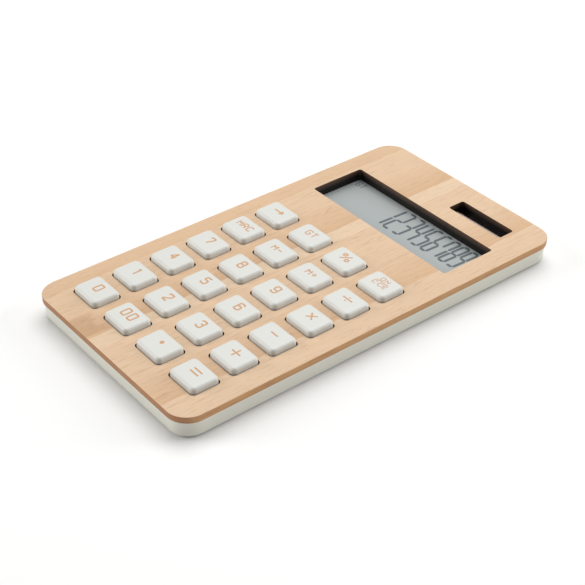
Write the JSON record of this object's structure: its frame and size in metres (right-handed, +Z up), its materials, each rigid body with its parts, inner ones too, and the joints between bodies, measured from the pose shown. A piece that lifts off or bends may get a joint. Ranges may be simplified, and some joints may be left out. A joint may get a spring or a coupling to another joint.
{
  "type": "desk calculator",
  "caption": "Flat desk calculator with a bamboo front, a white moulded case, sprung rounded keys, a recessed display and a solar cell window.",
  "frame": {"origin": "middle of the calculator's outline, on the plane that its rubber feet stand on", "axes": "+X to the reader's right, +Y from the keys to the display, +Z up out of the keys"},
  "size_m": [0.1, 0.1848, 0.0127],
  "materials": {
    "bamboo": "planed and oiled, satin, strips laid lengthwise",
    "case_plastic": "warm white, fine moulded grain",
    "key_plastic": "white, satin",
    "black_plastic": "black, moulded",
    "adhesive": "double-sided sheet",
    "silicone": "translucent grey silicone",
    "carbon_rubber": "conductive carbon rubber",
    "phenolic_board": "tan phenolic board with green mask",
    "epoxy": "black epoxy drop",
    "ceramic": "ceramic chip bodies",
    "zinc_steel": "zinc plated",
    "display_glass": "clear float glass",
    "polariser_film": "grey polarising film, low gloss",
    "reflector_film": "matt silver film",
    "ribbon_film": "amber film with printed tracks",
    "solar_glass": "dark amorphous cell behind glass",
    "foam": "closed-cell foam",
    "cell_steel": "nickel-plated steel can",
    "nickel_contact": "nickel-plated spring strip",
    "red_insulation": "red insulation",
    "black_insulation": "black insulation",
    "foot_rubber": "dark grey rubber",
    "legend_ink": "copper-orange printed ink",
    "display_ink": "dark display segments"
  },
  "bodies": {
    "casing": {"battery_lead_negative": "black_insulation", "battery_lead_positive": "red_insulation", "board_screws": "zinc_steel", "button_cell": "cell_steel", "capacitors": "ceramic", "case_screws": "zinc_steel", "chip_cover": "epoxy", "circuit_board": "phenolic_board", "contact_pills": "carbon_rubber", "display_front_glass": "display_glass", "display_polariser": "polariser_film", "display_rear_glass": "display_glass", "display_reflector": "reflector_film", "display_ribbon": "ribbon_film", "display_tape": "adhesive", "dome_sheet": "silicone", "front_plate": "bamboo", "glue_sheet": "adhesive", "inner_frame": "black_plastic", "negative_contact": "nickel_contact", "positive_contact": "nickel_contact", "rear_case": "case_plastic", "resistors": "ceramic", "rubber_foot_1": "foot_rubber", "rubber_foot_2": "foot_rubber", "rubber_foot_3": "foot_rubber", "rubber_foot_4": "foot_rubber", "solar_cell": "solar_glass", "solar_lead_negative": "black_insulation", "solar_lead_positive": "red_insulation", "solar_pad": "foam"},
    "battery_cover": {"battery_cover": "case_plastic"},
    "key_zero": {"key_zero": "key_plastic"},
    "key_double_zero": {"key_double_zero": "key_plastic"},
    "key_decimal_point": {"key_decimal_point": "key_plastic"},
    "key_equals": {"key_equals": "key_plastic"},
    "key_one": {"key_one": "key_plastic"},
    "key_two": {"key_two": "key_plastic"},
    "key_three": {"key_three": "key_plastic"},
    "key_plus": {"key_plus": "key_plastic"},
    "key_four": {"key_four": "key_plastic"},
    "key_five": {"key_five": "key_plastic"},
    "key_six": {"key_six": "key_plastic"},
    "key_minus": {"key_minus": "key_plastic"},
    "key_seven": {"key_seven": "key_plastic"},
    "key_eight": {"key_eight": "key_plastic"},
    "key_nine": {"key_nine": "key_plastic"},
    "key_multiply": {"key_multiply": "key_plastic"},
    "key_memory_recall": {"key_memory_recall": "key_plastic"},
    "key_memory_minus": {"key_memory_minus": "key_plastic"},
    "key_memory_plus": {"key_memory_plus": "key_plastic"},
    "key_divide": {"key_divide": "key_plastic"},
    "key_backspace": {"key_backspace": "key_plastic"},
    "key_grand_total": {"key_grand_total": "key_plastic"},
    "key_percent": {"key_percent": "key_plastic"},
    "key_on_clear": {"key_on_clear": "key_plastic"}
  },
  "joints": [
    {"name": "key_zero_press", "type": "slide", "parent": "casing", "child": "key_zero", "axis": [0, 0, -1], "range_m": [0, 0.0012], "stiffness_N_per_m": 400, "springref_m": -0.0003, "deforming": ["dome_sheet", "contact_pills"]},
    {"name": "key_double_zero_press", "type": "slide", "parent": "casing", "child": "key_double_zero", "axis": [0, 0, -1], "range_m": [0, 0.0012], "stiffness_N_per_m": 400, "springref_m": -0.0003},
    {"name": "key_decimal_point_press", "type": "slide", "parent": "casing", "child": "key_decimal_point", "axis": [0, 0, -1], "range_m": [0, 0.0012], "stiffness_N_per_m": 400, "springref_m": -0.0003},
    {"name": "key_equals_press", "type": "slide", "parent": "casing", "child": "key_equals", "axis": [0, 0, -1], "range_m": [0, 0.0012], "stiffness_N_per_m": 400, "springref_m": -0.0003},
    {"name": "key_one_press", "type": "slide", "parent": "casing", "child": "key_one", "axis": [0, 0, -1], "range_m": [0, 0.0012], "stiffness_N_per_m": 400, "springref_m": -0.0003},
    {"name": "key_two_press", "type": "slide", "parent": "casing", "child": "key_two", "axis": [0, 0, -1], "range_m": [0, 0.0012], "stiffness_N_per_m": 400, "springref_m": -0.0003},
    {"name": "key_three_press", "type": "slide", "parent": "casing", "child": "key_three", "axis": [0, 0, -1], "range_m": [0, 0.0012], "stiffness_N_per_m": 400, "springref_m": -0.0003},
    {"name": "key_plus_press", "type": "slide", "parent": "casing", "child": "key_plus", "axis": [0, 0, -1], "range_m": [0, 0.0012], "stiffness_N_per_m": 400, "springref_m": -0.0003},
    {"name": "key_four_press", "type": "slide", "parent": "casing", "child": "key_four", "axis": [0, 0, -1], "range_m": [0, 0.0012], "stiffness_N_per_m": 400, "springref_m": -0.0003},
    {"name": "key_five_press", "type": "slide", "parent": "casing", "child": "key_five", "axis": [0, 0, -1], "range_m": [0, 0.0012], "stiffness_N_per_m": 400, "springref_m": -0.0003},
    {"name": "key_six_press", "type": "slide", "parent": "casing", "child": "key_six", "axis": [0, 0, -1], "range_m": [0, 0.0012], "stiffness_N_per_m": 400, "springref_m": -0.0003},
    {"name": "key_minus_press", "type": "slide", "parent": "casing", "child": "key_minus", "axis": [0, 0, -1], "range_m": [0, 0.0012], "stiffness_N_per_m": 400, "springref_m": -0.0003},
    {"name": "key_seven_press", "type": "slide", "parent": "casing", "child": "key_seven", "axis": [0, 0, -1], "range_m": [0, 0.0012], "stiffness_N_per_m": 400, "springref_m": -0.0003},
    {"name": "key_eight_press", "type": "slide", "parent": "casing", "child": "key_eight", "axis": [0, 0, -1], "range_m": [0, 0.0012], "stiffness_N_per_m": 400, "springref_m": -0.0003},
    {"name": "key_nine_press", "type": "slide", "parent": "casing", "child": "key_nine", "axis": [0, 0, -1], "range_m": [0, 0.0012], "stiffness_N_per_m": 400, "springref_m": -0.0003},
    {"name": "key_multiply_press", "type": "slide", "parent": "casing", "child": "key_multiply", "axis": [0, 0, -1], "range_m": [0, 0.0012], "stiffness_N_per_m": 400, "springref_m": -0.0003},
    {"name": "key_memory_recall_press", "type": "slide", "parent": "casing", "child": "key_memory_recall", "axis": [0, 0, -1], "range_m": [0, 0.0012], "stiffness_N_per_m": 400, "springref_m": -0.0003},
    {"name": "key_memory_minus_press", "type": "slide", "parent": "casing", "child": "key_memory_minus", "axis": [0, 0, -1], "range_m": [0, 0.0012], "stiffness_N_per_m": 400, "springref_m": -0.0003},
    {"name": "key_memory_plus_press", "type": "slide", "parent": "casing", "child": "key_memory_plus", "axis": [0, 0, -1], "range_m": [0, 0.0012], "stiffness_N_per_m": 400, "springref_m": -0.0003},
    {"name": "key_divide_press", "type": "slide", "parent": "casing", "child": "key_divide", "axis": [0, 0, -1], "range_m": [0, 0.0012], "stiffness_N_per_m": 400, "springref_m": -0.0003},
    {"name": "key_backspace_press", "type": "slide", "parent": "casing", "child": "key_backspace", "axis": [0, 0, -1], "range_m": [0, 0.0012], "stiffness_N_per_m": 400, "springref_m": -0.0003},
    {"name": "key_grand_total_press", "type": "slide", "parent": "casing", "child": "key_grand_total", "axis": [0, 0, -1], "range_m": [0, 0.0012], "stiffness_N_per_m": 400, "springref_m": -0.0003},
    {"name": "key_percent_press", "type": "slide", "parent": "casing", "child": "key_percent", "axis": [0, 0, -1], "range_m": [0, 0.0012], "stiffness_N_per_m": 400, "springref_m": -0.0003},
    {"name": "key_on_clear_press", "type": "slide", "parent": "casing", "child": "key_on_clear", "axis": [0, 0, -1], "range_m": [0, 0.0012], "stiffness_N_per_m": 400, "springref_m": -0.0003},
    {"name": "battery_cover_turn", "type": "hinge", "parent": "casing", "child": "battery_cover", "pos_m": [-0.0212, 0.07917, 0.0006], "axis": [0, 0, -1], "range_deg": [0, 60]}
  ]
}
